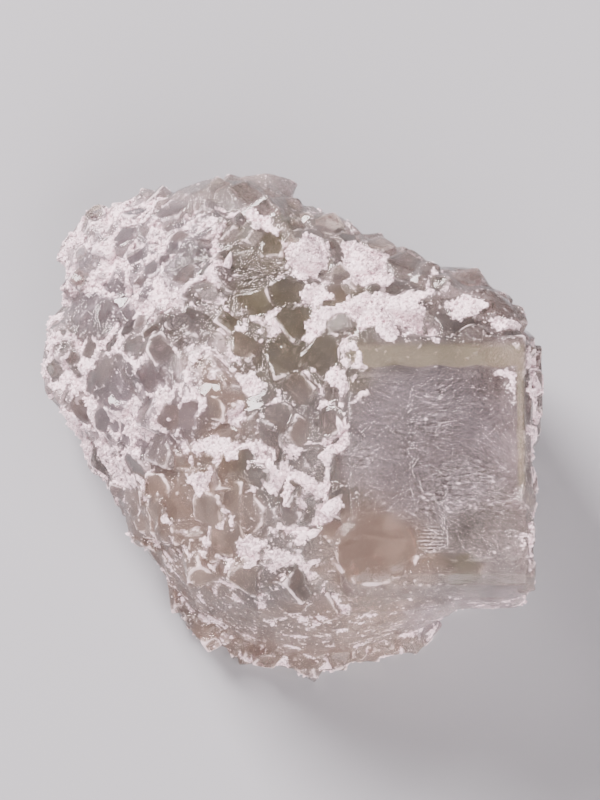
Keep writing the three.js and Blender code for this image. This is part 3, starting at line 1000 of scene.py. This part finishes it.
GREY = colour(0.48, 0.385, 0.37)
DEEP_GREY = colour(0.21, 0.18, 0.145)
OLIVE = colour(0.27, 0.235, 0.125)
SMOKE = colour(0.33, 0.285, 0.26)
PALE_OLIVE = colour(0.36, 0.31, 0.215)
BEIGE = colour(0.76, 0.545, 0.43)
VIOLET_GREY = colour(0.52, 0.425, 0.485)
# White of the frost, also used for the painted highlights on the ridges and the painted glints.
FROST_AND_HIGHLIGHT = colour(0.94, 0.77, 0.81)
MILK = colour(0.66, 0.51, 0.545)
SHADE = colour(0.10, 0.08, 0.075)
# Pinkish grey of the painted shade in the quartz's hollows.
HOLLOW_SHADE_PINK = colour(0.47, 0.345, 0.375)
SUGAR_WHITE = colour(1, 0.81, 0.855)
FLOOR_GREY = colour(0.34, 0.352, 0.37)


# How light bends in each mineral, and how the thickness of the fluorite tints it and how strongly.
FLUORITE_IOR = 1.434
QUARTZ_IOR = 1.544
ABSORBED = colour(0.70, 0.645, 0.575)
ABSORPTION = 22

# The finest relief of each mineral, which is left to its material, in metres.
ETCHED_DEPTH = 0.22 * MM
SUGAR_DEPTH = 0.08 * MM


def glass_colour(paint, cloud):
    """The fluorite's own colour: cloudy greys, a tone for each crystal and the tinted zones."""
    tone = paint.attribute("tone")
    glass = paint.mixed(paint.band(cloud + (tone - 0.5) * 0.7, 0.36, 0.64), DEEP_GREY, GREY)
    for name, tint in (("smoky", SMOKE), ("olive", OLIVE), ("beige", BEIGE), ("violet", VIOLET_GREY)):
        glass = paint.mixed(paint.attribute(name) * 0.85, glass, tint)
    return paint.mixed(0.4 * paint.band(tone, 0.6, 1) * paint.attribute("window"), glass, BEIGE)


def fluorite_paint():
    """Clear and cloudy glass, mixed by how frosted, veiled and etched its skin is and where highlights and
    glints are painted on it; painted shade darkens its pits, scratches and ripple troughs.
    """
    paint = Paint("fluorite")
    etch = paint.attribute("etch")
    frost = paint.attribute("frost")
    ripple = paint.attribute("ripple")
    smooth_band = paint.attribute("smooth_band")
    cloud = paint.clouds(3.5, 2)
    glass = glass_colour(paint, cloud)
    rough_skin = 1 - 0.9 * paint.attribute("window")

    # The grain of the skin, with level lines where the face is etched.
    grain = paint.clouds(0.4, 3, rough=0.7)
    lines = paint.clouds(0.36, 3, stretch=(0.6, 1.5, 1), rough=0.7)
    grain = grain + (lines - grain) * etch
    # The ripples' crests and troughs, painted as highlight and shade.
    crests = paint.node("ShaderNodeTexWave", {"bands_direction": "Y"}, paint.place(), 0.95, 1.5, result=1)

    # Painted shade in the pits and scratches, and in the troughs of the ripples.
    pits = rough_skin * paint.band(paint.clouds(0.32, 2, rough=0.65), 0.5, 0.42)
    scratches = etch * paint.band(lines, 0.46, 0.38)
    painted_shade = paint.highest(pits * (0.5 + etch * 0.5), scratches * 1.7)
    # Painted shade in the troughs of the ripples.
    painted_shade = paint.highest(painted_shade, 1.5 * ripple * (1 - crests))

    # White frost on the grain and near the quartz, white on the ridges as painted highlight and frost,
    # painted glints on the etched face and on the ripples' crests, and the thin milk between.
    near_quartz = frost * 0.75 + (paint.clouds(2.2, 2) - 0.5) * 0.5
    pale = rough_skin * paint.band(grain + (near_quartz - 0.5) * 0.16 + etch * 0.01, 0.515, 0.6)
    edge = paint.attribute("edge") * paint.band(paint.clouds(1.8, 1), 0.42, 0.52)
    # Painted glints: small white flecks on the etched face.
    glint_flecks = etch * paint.band(paint.clouds(0.3, 1, (0.7, 1.4, 1)), 0.6, 0.66)
    frost_and_highlights = paint.highest(pale, edge) + glint_flecks * 0.24 + ripple * crests * 0.4
    veil = paint.attribute("veil") * paint.band(paint.clouds(1.4, 3, rough=0.6), 0.4, 0.6)
    milk = paint.highest(veil, paint.band(frost + (paint.clouds(0.9, 3) - 0.5) * 1.6, 0.45, 0.85))

    skin = paint.mixed(milk * 0.65, glass, MILK)
    skin = paint.mixed(smooth_band * 0.8, skin, PALE_OLIVE)
    # Painted shade of the pits, scratches and ripple troughs.
    skin = paint.mixed(painted_shade * 0.5, skin, SHADE)
    skin = paint.mixed(frost_and_highlights * 0.85, skin, FROST_AND_HIGHLIGHT)
    whiteness = 0.66 - 0.1 * paint.attribute("olive") - 0.22 * paint.attribute("beige")
    whiteness = whiteness - 0.14 * paint.attribute("smoky")
    clear_tint = paint.mixed(whiteness, glass, colour(1, 1, 1))
    # The same painted shade, also in the clear glass of the etched face.
    clear_tint = paint.mixed(etch * painted_shade * 0.4, clear_tint, SHADE)

    bump = paint.node("ShaderNodeBump", None, 0.7 + etch * 0.3, ETCHED_DEPTH, Height=grain * rough_skin)
    finish = {"Roughness": 0.06 + frost_and_highlights * 0.36, "IOR": FLUORITE_IOR, "Normal": bump}
    clear = paint.node("ShaderNodeBsdfPrincipled", Base_Color=clear_tint, Transmission_Weight=1, **finish)
    milky = paint.node("ShaderNodeBsdfPrincipled", Base_Color=skin, **finish)
    share_milky = 0.06 + frost_and_highlights * 0.8 + paint.band(cloud, 0.4, 0.7) * 0.1 + milk * 0.35
    share_milky = share_milky + smooth_band * 0.24
    surface = paint.node("ShaderNodeMixShader", None, share_milky, clear, milky)
    inside = paint.node("ShaderNodeVolumeAbsorption", Color=ABSORBED, Density=ABSORPTION)
    return paint.finish(surface, inside)


def quartz_paint():
    """Sugary white, a little pink, with painted shade in the hollows of its grain, more of it in some
    patches.
    """
    paint = Paint("quartz")
    grain = paint.clouds(0.28, 4, rough=0.6)
    patchy = (paint.clouds(2.0, 3) - 0.5) * 0.35
    # Painted shade: where the grain's bump sinks, the sugar goes over to the darker pink grey.
    shade = paint.band(grain + patchy, 0.38, 0.52)
    sugar = paint.mixed(shade, HOLLOW_SHADE_PINK, SUGAR_WHITE)
    bump = paint.node("ShaderNodeBump", Strength=0.5, Distance=SUGAR_DEPTH, Height=grain)
    surface = {"Base Color": sugar, "Roughness": 0.34, "IOR": QUARTZ_IOR, "Normal": bump}
    return paint.finish(paint.node("ShaderNodeBsdfPrincipled", **surface))


# ---------- camera, light and floor ----------

# The camera looks at this point, raised a little in the picture, over a picture of this width there.
WATCH_POINT = Vector((0.00115, 0.0, 0.01))
WATCH_RAISED = 0.0018
WATCH_DISTANCE = 0.4
PICTURE_WIDTH = 0.0762
SENSOR = 36

ROOM_GLOW = colour(0.98, 0.875, 0.905)
ROOM_STRENGTH = 0.16
LAMP_GLOW = (1, 0.895, 0.915)


def camera():
    back = Vector((0, -math.cos(VIEW_RISE), math.sin(VIEW_RISE)))
    up = Vector((0, math.sin(VIEW_RISE), math.cos(VIEW_RISE)))
    bpy.ops.object.camera_add(location=WATCH_POINT + up * WATCH_RAISED + back * WATCH_DISTANCE)
    watcher = bpy.context.object
    watcher.rotation_euler = (-back).to_track_quat("-Z", "Y").to_euler()
    watcher.data.sensor_width = SENSOR
    watcher.data.lens = SENSOR * WATCH_DISTANCE / PICTURE_WIDTH
    watcher.data.clip_start = 0.01
    bpy.context.scene.camera = watcher


def lamp(name, place, size, watts):
    """A soft square lamp that shines at the stone."""
    bpy.ops.object.light_add(type="AREA", location=place)
    light = bpy.context.object
    light.name = name
    light.data.size = size
    light.data.energy = watts
    light.data.color = LAMP_GLOW
    light.rotation_euler = (-Vector(place)).to_track_quat("-Z", "Y").to_euler()


def studio():
    bpy.ops.mesh.primitive_plane_add(size=4, location=(0, 0, 0))
    floor = bpy.context.object
    floor.name = "floor"
    paint = Paint("floor")
    matt = paint.node("ShaderNodeBsdfPrincipled", Base_Color=FLOOR_GREY, Roughness=0.7)
    floor.data.materials.append(paint.finish(matt))
    world = bpy.data.worlds.new("room")
    world.use_nodes = True
    background = world.node_tree.nodes["Background"]
    background.inputs["Color"].default_value = ROOM_GLOW
    background.inputs["Strength"].default_value = ROOM_STRENGTH
    bpy.context.scene.world = world
    lamp("window_light", (-0.42, 0.52, 0.5), 0.36, 28)
    lamp("front_light", (0.3, -0.75, 0.45), 1.2, 29)


# ---------- the whole stone ----------

# The winding line in x where the crust is parted into two pieces, and how far each piece reaches past it.
SEAM = -4
SEAM_WINDING = 2.5
SEAM_OVERLAP = 0.25

# How strongly each tint shows on the smooth bands of the right crystal's face.
BAND_TINTS = {"smoky": 0, "olive": 0.75, "beige": 0, "violet": 0}


def mark_frost(body, grown, window):
    """Marks the edges painted white as highlight and frost, the frost round the quartz and the veiled
    places.
    """
    points = places(body)
    # Raised ridges painted white: painted highlight along the crystal edges, partly frost.
    edges = smooth_step(0.012, 0.045, sharpness(body, 3)) * (1 - 0.75 * on_right_face(points))
    paint_attribute(body, "edge", np.maximum(edges, swelling_rim(points)))
    paint_attribute(body, "frost", smooth_step(-0.3, 0.05, grown))
    dull = (1 - window) * (1 - within(display(points), WINDOWS))
    paint_attribute(body, "veil", tint_of(points, VEILED) * dull)


def mark_zones(body, sites):
    """Marks the clear faces and their tones, the etched and the rippled places and the tinted zones."""
    points = places(body)
    window, tone = windows_on(points, sites)
    window = smooth_skin(points, window)
    paint_attribute(body, "window", window)
    paint_attribute(body, "tone", tone)
    etched = smooth_step(-0.25, 0.25, fractal(points, 4, 3, seed=31)) * 0.4 + 0.6
    paint_attribute(body, "etch", etched * tint_of(points, ETCHED) * (1 - window))
    paint_attribute(body, "ripple", smooth_step(0, 0.4, inside_oval(display(points), RIPPLED)))
    bands = face_borders(points)
    paint_attribute(body, "smooth_band", bands)
    for name, ovals in TINTS.items():
        paint_attribute(body, name, tint_of(points, ovals) * (1 - bands) + BAND_TINTS[name] * bands)


body, sites = fluorite_body()
points = places(body)
window = smooth_skin(points, windows_on(points, sites)[0])
grown = quartz_cover(points, outward(body), -sharpness(body, 6), window)
grown = spread(grown, joined_edges(body), 1)
seam = SEAM + SEAM_WINDING * fractal(points, 3, 2, seed=22)
crust_left = quartz_crust(body, "quartz_crust_left", grown, points[:, 0] < seam + SEAM_OVERLAP)
crust_right = quartz_crust(body, "quartz_crust_right", grown, points[:, 0] > seam - SEAM_OVERLAP)
tiny_points = quartz_points(body, grown)
mark_frost(body, grown, window)
thinned(body, PIECE_TRIANGLES)
mark_zones(body, sites)
only(body)
bpy.ops.object.shade_smooth_by_angle(angle=math.radians(30))

quartz = quartz_paint()
dressed = [(body, fluorite_paint(), "fluorite")]
dressed += [(piece, quartz, "quartz") for piece in (crust_left, crust_right, tiny_points)]
for piece, material, name in dressed:
    piece.data.materials.clear()
    piece.data.materials.append(material)
    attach(piece, "root")
    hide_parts(NODE)
    print(piece.name, len(piece.data.polygons), "faces", len(piece.data.vertices), "vertices")
camera()
studio()
